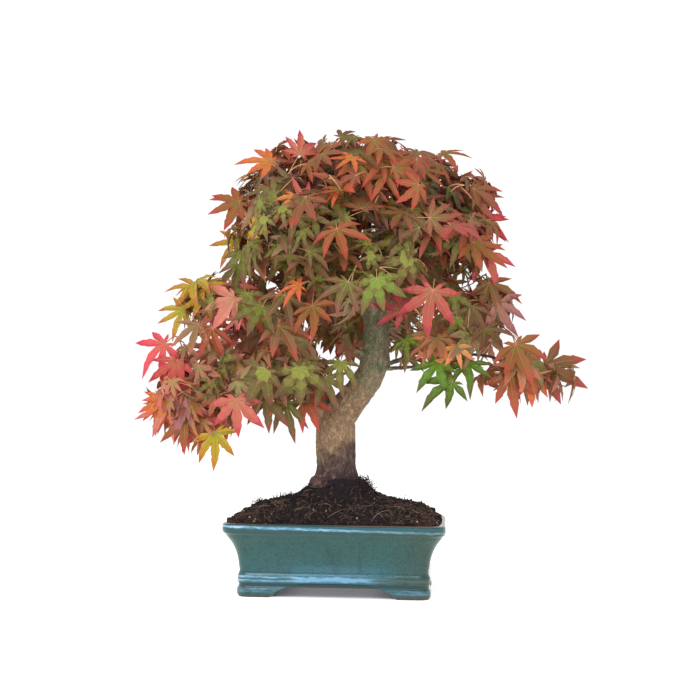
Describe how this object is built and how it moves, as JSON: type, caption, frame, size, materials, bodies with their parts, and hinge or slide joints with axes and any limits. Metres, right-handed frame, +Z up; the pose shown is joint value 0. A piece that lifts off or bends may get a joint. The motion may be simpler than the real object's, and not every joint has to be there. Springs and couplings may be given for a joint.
{
  "type": "potted japanese maple bonsai",
  "caption": "Bonsai japanese maple in autumn leaf, with a leaning trunk, a domed crown and low side tiers, in a footed rectangular glazed pot filled with a soil mound.",
  "frame": {"origin": "on the ground plane under the pot's feet, below the centre of the whole object's bounding box", "axes": "+Z up along the tree's growth, +X to the right along the pot's long side, -Y towards the viewer, square to the pot's front"},
  "size_m": [0.5092, 0.2992, 0.5217],
  "materials": {
    "glaze": "gloss",
    "peat": "rough",
    "bark": "rough",
    "twig": "satin",
    "leaves": "satin"
  },
  "bodies": {
    "root": {"pot": "glaze", "soil": "peat", "trunk": "bark", "bough_low_left": "twig", "bough_low_left_back": "twig", "bough_low_right": "twig", "bough_low_right_lower": "twig", "bough_crown_front": "twig", "bough_crown_left": "twig", "bough_crown_right": "twig", "bough_crown_back": "twig", "bough_leader": "twig", "mass_crown_top": "leaves", "mass_crown_right": "leaves", "mass_crown_back_right": "leaves", "mass_crown_back_left": "leaves", "mass_crown_left": "leaves", "mass_crown_front_left": "leaves", "mass_crown_front_right": "leaves", "mass_left_upper": "leaves", "mass_left_outer": "leaves", "mass_left_inner": "leaves", "mass_left_back": "leaves", "mass_right_upper": "leaves", "mass_right_inner": "leaves", "mass_right_outer": "leaves", "mass_right_back": "leaves", "mass_back": "leaves"}
  },
  "joints": []
}
